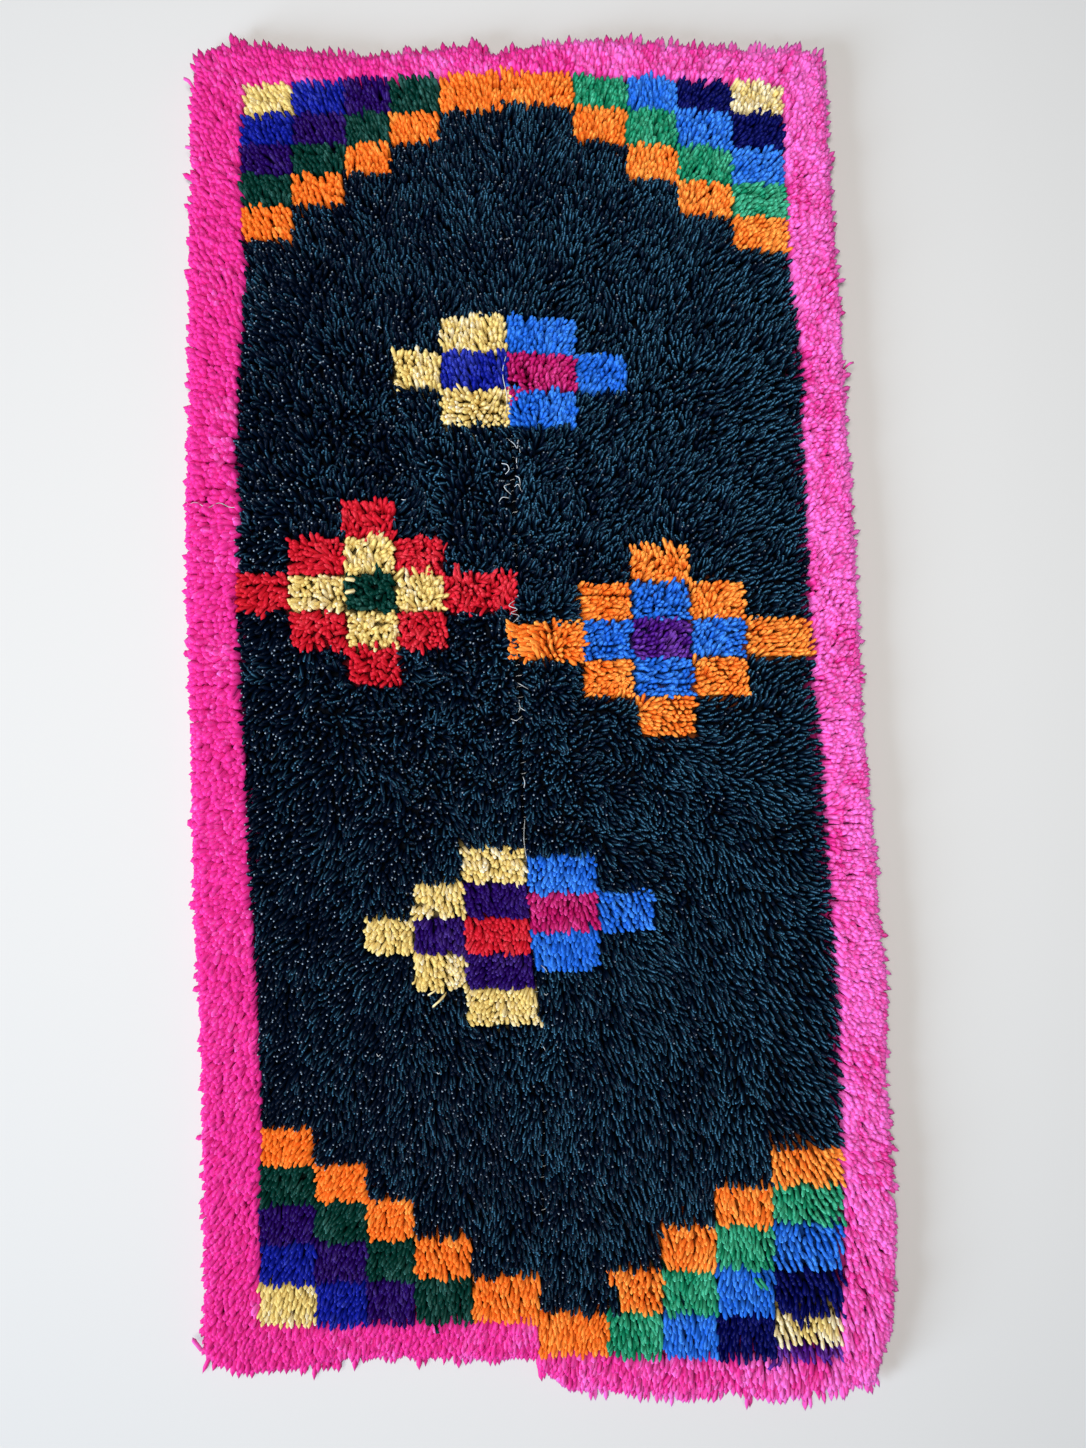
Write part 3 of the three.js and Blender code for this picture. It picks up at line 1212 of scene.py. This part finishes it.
def yarn_finish(yarn):
    """Cut pile yarn with a faint twist: painted shade at the root and on the flanks, painted highlights on
    its crest and at its cut end, and a painted sheen.
    """
    name = yarn + "_pile_yarn"
    if name in bpy.data.materials:
        return bpy.data.materials[name]
    colour = tuple(getattr(bpy.context.scene.rug_colours, "yarn_" + yarn))
    finish = Finish(name, specular_ior_level=0.06)
    across, along = finish.map_place()
    column = across * TONES
    around = finish.maths("FRACT", column)
    tone = finish.maths("FLOOR", column) / (TONES - 1)
    places = [place * patches for place, patches in zip((around, along, tone), FIBRE_PATCHES)]
    fibre = finish.noise(finish.point(*places), 1.0)
    brightness = YARN_LIGHT - tone * TONE_CUT + (fibre - 0.5) * FIBRE_CONTRAST
    # Painted shade: the stems are painted darker towards the root, deep in the pile.
    light = finish.ease(along, *ROOT_SHADE_FADE, PAINTED_ROOT_SHADE.get(yarn, OTHER_PAINTED_ROOT_SHADE), 1.0) * brightness
    # Painted shade on the flanks, darker away from the crest.
    from_crest = finish.maths("ABSOLUTE", around - 0.5)
    light = light * finish.ease(from_crest, *FLANK_SIDES, 1.0, PAINTED_FLANK_SHADE)
    body = finish.node("ShaderNodeVectorMath", {"operation": "SCALE"}, {0: colour, "Scale": light})
    # Painted highlights: a streak along the crest near the top of each stem, and its cut end.
    crest = finish.ease(from_crest, *CREST_SIDES, 1.0, 0.0) * finish.ease(along, *CREST_FROM)
    cut_end = finish.ease(along, *CUT_END_FROM)
    pale = finish.maths("MAXIMUM", crest * CREST_STRENGTH, cut_end) * finish.ease(tone, *CREST_TONES)
    # Painted sheen over the upper stems of yarn of high tone.
    sheen = finish.ease(tone, *SHEEN_TONES) * finish.ease(along, *SHEEN_FROM) * SHEEN.get(yarn, OTHER_SHEEN)
    pale = finish.maths("MAXIMUM", pale, sheen)
    # The yarn's colour with its painted shade, highlights and sheen.
    yarn_colour = finish.mix(pale, body, PAINTED_HIGHLIGHTS[yarn])
    # Painted glints: bright dots on the cut ends of some of the field's tufts.
    if yarn == "field":
        off_tone = finish.maths("ABSOLUTE", tone - CUT_GLINT_TONE)
        painted_glint = finish.ease(off_tone, *CUT_GLINT_STEPS, CUT_GLINT_STRENGTH, 0.0) * cut_end
        yarn_colour = finish.mix(painted_glint, yarn_colour, CUT_GLINT_COLOUR)
    finish.feed("Base Color", yarn_colour)
    finish.feed("Roughness", YARN_ROUGHNESS + fibre * FIBRE_ROUGHNESS)
    twist = finish.maths("SINE", (around + along * PLY_TURNS) * (PLIES * math.tau))
    height = twist * PLY_RELIEF + fibre * FIBRE_RELIEF
    bump = finish.node("ShaderNodeBump", {}, {"Strength": 0.25, "Distance": 0.3 * MM, "Height": height})
    finish.feed("Normal", bump)
    return finish.material


def thread_finish():
    """Pale two-ply sewing thread, uneven in colour."""
    name = "two_ply_thread"
    if name in bpy.data.materials:
        return bpy.data.materials[name]
    colour = tuple(bpy.context.scene.rug_colours.sewing_thread)
    finish = Finish(name, roughness=0.6, specular_ior_level=0.2)
    place = finish.node("ShaderNodeTexCoord", {}, {}, "Object")
    patches = finish.ease(finish.noise(place, scale=60.0), low=0.35, high=0.65)
    finish.feed("Base Color", finish.mix(patches, shade(colour, light=0.6), colour))
    return finish.material


def place_on_rug(piece):
    """Lets a finished piece ride with the rug."""
    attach(piece, BODY)


def knot_pile(strip, yarn, mask_of, part=""):
    """One piece of pile: the tufts of a strip that a mask picks, in one yarn."""
    tufts = lay_tufts(strip, bpy.context.scene.rug_sizes)
    chosen = pick(tufts, mask_of(tufts))
    if not len(chosen["root"]):
        raise RuntimeError(f"no {yarn} knots in the {strip.name} strip")
    piece = tuft_mesh(f"{strip.name}_pile_{yarn}{part}", chosen)
    piece.data.materials.append(yarn_finish(yarn))
    place_on_rug(piece)
    return piece


class RUG_OT_knot_border(bpy.types.Operator):
    """Knots the pink border all round both strips"""

    bl_idname = "rug.knot_border"
    bl_label = "Knot the border"

    def execute(self, context):
        for strip in STRIPS:
            knot_pile(strip, "pink", lambda tufts: tufts["letter"] == PINK)
        return {"FINISHED"}


class RUG_OT_knot_field(bpy.types.Operator):
    """Knots the near-black field of both strips, in a head half and a foot half"""

    bl_idname = "rug.knot_field"
    bl_label = "Knot the field"

    def execute(self, context):
        for strip in STRIPS:
            for part, sign in (("_head", 1), ("_foot", -1)):
                knot_pile(
                    strip,
                    "field",
                    lambda tufts, sign=sign: (tufts["letter"] == FIELD) & (tufts["tip"][:, 1] * sign > 0),
                    part,
                )
        return {"FINISHED"}


class RUG_OT_knot_motifs(bpy.types.Operator):
    """Knots the checker corners and the stepped crosses, one piece for each yarn of a strip"""

    bl_idname = "rug.knot_motifs"
    bl_label = "Knot the motifs"

    def execute(self, context):
        for strip in STRIPS:
            for letter, yarn in YARNS.items():
                if (strip.letters == letter).any():
                    knot_pile(strip, yarn, lambda tufts, letter=letter: tufts["letter"] == letter)
        return {"FINISHED"}


# The ground is a grid with a corner for each knot, and its edges stand this far in from the tips' outline.
# Its rows lie high and low in turn by the ridge, and the two grounds lie this far apart at the seam.
GROUND_INSET = 4.5 * MM
GROUND_RIDGE = 0.15 * MM
SEAM_GAP = 0.06 * MM
SHADED_KNOT_COLOUR = "KnotColour"

# Painted shade in the depth of the pile: how light the collars of the knots are painted beside their yarn.
COLLAR_PAINTED_SHADE = 0.35
BORDER_COLLAR_PAINTED_SHADE = 0.6


def ground_plan(strip):
    """Points of a strip's ground seen from above, as rows from head to foot, each from left to right."""
    shares = np.linspace(0, 1, strip.knot_count + 1)
    rows = HEAD_BORDER_ROWS + strip.row_count + strip.foot_border_rows + 1
    head = read(strip.ends, "head", shares, by="across") - GROUND_INSET
    foot = read(strip.ends, "foot", shares, by="across") + GROUND_INSET
    y = foot + (head - foot) * np.linspace(1, 0, rows)[:, None]
    seam = strip.seam(y) + (-0.5 if strip.is_left else 0.5) * SEAM_GAP
    outer = strip.outer(y) + (GROUND_INSET if strip.is_left else -GROUND_INSET)
    left, right = (outer, seam) if strip.is_left else (seam, outer)
    return left + (right - left) * shares, y


def letters_over(tufts, points):
    """The letter of the tuft whose root is nearest to each point."""
    nearest = KDTree(len(tufts["root"]))
    for index, root in enumerate(tufts["root"]):
        nearest.insert((root[0], root[1], 0), index)
    nearest.balance()
    return np.array([tufts["letter"][nearest.find(point)[1]] for point in points])


def ground_mesh(strip, tufts, thickness):
    """The woven ground as a closed sheet, with the yarn colour of the knot nearest to each corner, darkened
    as painted shade.
    """
    x, y = ground_plan(strip)
    rows, columns = x.shape
    low = np.stack([x, y, np.zeros_like(x)], -1).reshape(-1, 3)
    ridge = GROUND_RIDGE * np.cos(np.arange(rows) * math.pi)[:, None] * np.ones(columns)
    high = np.stack([x, y, thickness + ridge], -1).reshape(-1, 3)
    index = np.arange(rows * columns).reshape(rows, columns)
    bottom = np.stack([index[:-1, :-1], index[:-1, 1:], index[1:, 1:], index[1:, :-1]], -1).reshape(-1, 4)
    top = np.roll(bottom[:, ::-1], 1, axis=1) + rows * columns
    rim = np.concatenate([index[0, :-1], index[:-1, -1], index[-1, :0:-1], index[:0:-1, 0]])
    after = np.roll(rim, -1)
    wall = np.stack([after, rim, rim + rows * columns, after + rows * columns], -1)
    vertices = np.concatenate([low, high])
    faces = np.concatenate([top, bottom, wall])
    letters = letters_over(tufts, vertices[:rows * columns])
    place = np.stack([
        (vertices[:, 0] - x.min()) / (x.max() - x.min()),
        (vertices[:, 1] - y.min()) / (y.max() - y.min()),
    ], -1)
    piece = add_mesh(f"ground_{strip.name}", vertices, [faces], [place[faces]])
    colours = np.ones((len(vertices), 4), np.float32)
    names = {PINK: "pink", FIELD: "field", **YARNS}
    yarn_colours = bpy.context.scene.rug_colours
    for letter in np.unique(letters):
        knots = np.tile(letters == letter, 2)
        # Painted shade: the collars are a darker copy of their yarn's colour.
        light = BORDER_COLLAR_PAINTED_SHADE if letter == PINK else COLLAR_PAINTED_SHADE
        colours[knots, :3] = shade(getattr(yarn_colours, "yarn_" + names[str(letter)]), light)
    attribute = piece.data.color_attributes.new(name=SHADED_KNOT_COLOUR, type="FLOAT_COLOR", domain="POINT")
    attribute.data.foreach_set("color", colours.ravel())
    piece.data.materials.append(cotton_finish())
    piece.data.materials.append(collar_finish())
    face_side = np.zeros(len(faces), np.int32)
    face_side[:len(top)] = 1
    piece.data.polygons.foreach_set("material_index", face_side)
    return piece


def collar_finish():
    """The face of the ground, where the knots wrap the warps, so that it has their colours, darkened as
    painted shade of the pile above.
    """
    name = "knot_collars"
    if name in bpy.data.materials:
        return bpy.data.materials[name]
    finish = Finish(name, roughness=0.8, specular_ior_level=0.1)
    finish.feed("Base Color", finish.node("ShaderNodeVertexColor", {"layer_name": SHADED_KNOT_COLOUR}, {}))
    return finish.material


# Warps and wefts of the ground, from one crossing to the next, and how much of the ground's unevenness in
# colour comes from them, as painted shade where the weave lies low. The rest is in the cotton itself.
WARP_PITCH = 5.4 * MM
WEFT_PITCH = 4.3 * MM
WEAVE_SHARE = 0.6


def cotton_finish():
    """The woven ground: undyed cotton in a coarse plain weave, whose crossings stand up in turn, with painted
    shade where the weave lies low.
    """
    name = "woven_cotton"
    if name in bpy.data.materials:
        return bpy.data.materials[name]
    colour = tuple(bpy.context.scene.rug_colours.ground_cotton)
    finish = Finish(name, roughness=0.9, specular_ior_level=0.25)
    place = finish.node("ShaderNodeTexCoord", {}, {}, "Object")
    noise = finish.noise(place, scale=90.0)
    across, along = (finish.node("ShaderNodeSeparateXYZ", {}, {0: place}, output=axis) for axis in range(2))
    warps = finish.maths("SINE", across * (math.pi / WARP_PITCH))
    wefts = finish.maths("SINE", along * (math.pi / WEFT_PITCH))
    weave = warps * wefts * 0.5 + 0.5
    # Partly painted shade in the low points of the weave, partly the cotton's own uneven colour.
    threads = finish.ease(weave * WEAVE_SHARE + noise * (1 - WEAVE_SHARE), low=0.2, high=0.8)
    finish.feed("Base Color", finish.mix(threads, shade(colour, light=0.45), colour))
    bump = finish.node("ShaderNodeBump", {}, {"Strength": 0.8, "Distance": 0.8 * MM, "Height": weave})
    finish.feed("Normal", bump)
    return finish.material


class RUG_OT_weave_ground(bpy.types.Operator):
    """Weaves the flat ground of both strips, which carries the knots"""

    bl_idname = "rug.weave_ground"
    bl_label = "Weave the ground"

    def execute(self, context):
        sizes = context.scene.rug_sizes
        for strip in STRIPS:
            piece = ground_mesh(strip, lay_tufts(strip, sizes), sizes.ground_thickness)
            place_on_rug(piece)
            x, y = ground_plan(strip)
            widths = x[:, -1] - x[:, 0]
            area = float(np.mean(widths) * np.mean(y[0] - y[-1]))
            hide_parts("strip_" + strip.name)
        return {"FINISHED"}


# The seam is overcast with one thread, whose stitches reach over the edges of both grounds and back inside
# them. Each has come over the seam, down and back at these shares of the pitch.
STITCH_PITCH = 12 * MM
STITCH_OVER = 0.1
STITCH_DOWN = 0.3
STITCH_BACK = 0.8
STITCH_REACH = 3 * MM
STITCH_TOP = 4.4 * MM
STITCH_BOTTOM = 1.1 * MM
SEAM_ENDS = (-694 * MM, 716 * MM)

# The thread, and the steps from each point on its way to the next, in the seam and in the loose threads.
THREAD_RADIUS = 0.42 * MM
THREAD_SIDES = 6
STITCH_STEPS = 3
LOOSE_STEPS = 4

# Thread that has worked up out of the seam, and ends caught in the pile, as points in millimetres.
LOOSE_THREADS = (
    ((-37, 307, 24), (-29, 300, 29), (-25, 295, 28), (-24, 304, 29), (-22, 290, 22)),
    ((-25, 288, 24), (-26, 282, 27), (-25, 274, 21)),
    ((-42, 279, 26), (-36, 277, 29), (-34, 272, 27), (-38, 268, 24)),
    ((-27, 266, 24), (-23, 263, 27), (-22, 256, 22)),
    ((-33, 257, 26), (-39, 254, 29), (-37, 250, 29), (-32, 246, 24)),
    ((-28, 254, 25), (-24, 256, 28), (-21, 250, 23)),
    ((-45, 238, 24), (-41, 242, 28), (-34, 242, 24)),
    ((-28, 131, 24), (-34, 125, 29), (-25, 121, 29), (-32, 117, 29), (-23, 114, 29), (-30, 107, 24)),
    ((-25, 42, 24), (-20, 39, 28), (-13, 35, 23)),
    ((-24, 23, 24), (-22, 15, 28), (-24, 10, 23)),
    ((-22, 15, 26), (-17, 12, 28), (-11, 11, 23)),
    ((-32, 3, 24), (-26, 1, 28), (-20, 6, 24)),
    ((-19, -60, 22), (-17, -66, 26), (-18, -72, 21)),
    ((-17, -106, 21), (-18, -128, 25), (-15, -150, 21)),
    ((1, -349, 22), (4, -353, 27), (7, -359, 22)),
    ((-37, 398, 22), (-41, 376, 27), (-36, 348, 28), (-40, 322, 22)),
    ((-1, -263, 24), (5, -267, 28), (8, -274, 24)),
    ((-386, 234, 18), (-373, 237, 26), (-360, 231, 27), (-347, 236, 28), (-334, 231, 28), (-319, 234, 26)),
    ((-176, 427, 27), (-174, 426, 29), (-172, 425, 27)),
    ((-150, 240, 27), (-147, 239, 29), (-145, 240, 27)),
    ((-177, -359, 27), (-175, -361, 29), (-173, -360, 27)),
    ((-112, -379, 27), (-110, -380, 29), (-108, -379, 27)),
    ((4, -294, 27), (6, -295, 29), (8, -294, 27)),
)


def seam_line():
    """The thread's way along the seam: over both grounds, down into them, back and up again."""
    places = np.arange(*SEAM_ENDS, STITCH_PITCH)
    middle = read(OUTLINE, "seam", places)
    corners = []
    for y, x in zip(places, middle):
        corners += [
            (x - STITCH_REACH, y, STITCH_TOP),
            (x + STITCH_REACH, y + STITCH_PITCH * STITCH_OVER, STITCH_TOP),
            (x + STITCH_REACH, y + STITCH_PITCH * STITCH_DOWN, STITCH_BOTTOM),
            (x - STITCH_REACH, y + STITCH_PITCH * STITCH_BACK, STITCH_BOTTOM),
        ]
    return smooth_line(corners, STITCH_STEPS)


class RUG_OT_sew_seam(bpy.types.Operator):
    """Sews the two strips together, with the loose ends of thread that show in the pile"""

    bl_idname = "rug.sew_seam"
    bl_label = "Sew the seam"

    def execute(self, context):
        loose = [smooth_line(np.array(points) * MM, LOOSE_STEPS) for points in LOOSE_THREADS]
        for name, lines in (("seam_stitching", [seam_line()]), ("loose_threads", loose)):
            piece = thread_mesh(name, lines, THREAD_RADIUS)
            piece.data.materials.append(thread_finish())
            place_on_rug(piece)
        return {"FINISHED"}


def floor_finish():
    finish = Finish("floor_paint", roughness=0.85, specular_ior_level=0.2)
    finish.feed("Base Color", (*bpy.context.scene.rug_stage.floor_colour, 1.0))
    return finish.material


# The softboxes, which point at the middle of the rug: their names, places, widths, powers and colours.
SOFTBOXES = (
    ("overhead_softbox", (-0.2, 0.2, 2.4), 1.0, 55, (1.0, 0.97, 0.93)),
    ("side_softbox", (-6.0, -3.6, 2.6), 3.0, 750, (0.7, 0.83, 1.0)),
)
ROOM_COLOUR = (0.9, 0.93, 1.0, 1.0)
ROOM_BRIGHTNESS = 0.2

# The floor lies a little below the rug's back, so that the two don't flicker.
FLOOR_WIDTH = 30
FLOOR_DROP = 0.3 * MM

# The camera stands a little off the middle of the rug, and sees nothing nearer than the last figure.
CAMERA_ASIDE = (2.7 * MM, -2.7 * MM)
NEAREST_SEEN = 0.05


def add_softbox(name, location, width, power, colour):
    bpy.ops.object.light_add(type="AREA", location=location)
    light = bpy.context.active_object
    light.name = name
    light.data.shape = "SQUARE"
    light.data.size = width
    light.data.energy = power
    light.data.color = colour
    to_rug = -light.location
    light.rotation_euler = to_rug.to_track_quat("-Z", "Y").to_euler()


class RUG_OT_set_stage(bpy.types.Operator):
    """Sets up a pale floor, soft studio light and a camera straight above the rug"""

    bl_idname = "rug.set_stage"
    bl_label = "Set the stage"

    def execute(self, context):
        settings = context.scene.rug_stage
        bpy.ops.object.select_all(action="DESELECT")
        bpy.ops.mesh.primitive_plane_add(size=FLOOR_WIDTH, location=(0, 0, -FLOOR_DROP))
        floor = context.active_object
        floor.name = "floor"
        floor.data.materials.append(floor_finish())
        for softbox in SOFTBOXES:
            add_softbox(*softbox)
        world = bpy.data.worlds.new("studio")
        context.scene.world = world
        world.use_nodes = True
        background = world.node_tree.nodes["Background"]
        background.inputs["Color"].default_value = ROOM_COLOUR
        background.inputs["Strength"].default_value = ROOM_BRIGHTNESS
        context.scene.view_settings.view_transform = "Standard"
        tips = context.scene.rug_sizes.pile_top
        bpy.ops.object.camera_add(location=(*CAMERA_ASIDE, settings.camera_height), rotation=(0, 0, 0))
        camera = context.active_object
        camera.data.lens = camera.data.sensor_width * (settings.camera_height - tips) / settings.seen_length
        camera.data.clip_start = NEAREST_SEEN
        context.scene.camera = camera
        return {"FINISHED"}


class RUG_PT_panel(bpy.types.Panel):
    """Lists the steps that build the rug"""

    bl_idname = "RUG_PT_panel"
    bl_label = "Wangden Rug"
    bl_space_type = "VIEW_3D"
    bl_region_type = "UI"
    bl_category = "Rug"

    def draw(self, context):
        for operator in OPERATORS:
            self.layout.operator(operator.bl_idname)


OPERATORS = (
    RUG_OT_knot_border,
    RUG_OT_knot_field,
    RUG_OT_knot_motifs,
    RUG_OT_weave_ground,
    RUG_OT_sew_seam,
    RUG_OT_set_stage,
)
CLASSES = (RugSizes, RugColours, RugStage, *OPERATORS, RUG_PT_panel)


def register():
    for kind in CLASSES:
        bpy.utils.register_class(kind)
    bpy.types.Scene.rug_sizes = bpy.props.PointerProperty(type=RugSizes)
    bpy.types.Scene.rug_colours = bpy.props.PointerProperty(type=RugColours)
    bpy.types.Scene.rug_stage = bpy.props.PointerProperty(type=RugStage)


def unregister():
    del bpy.types.Scene.rug_stage
    del bpy.types.Scene.rug_colours
    del bpy.types.Scene.rug_sizes
    for kind in reversed(CLASSES):
        bpy.utils.unregister_class(kind)


def main():
    register()
    for operator in OPERATORS:
        group, name = operator.bl_idname.split(".")
        getattr(getattr(bpy.ops, group), name)()


if __name__ == "__main__":
    main()
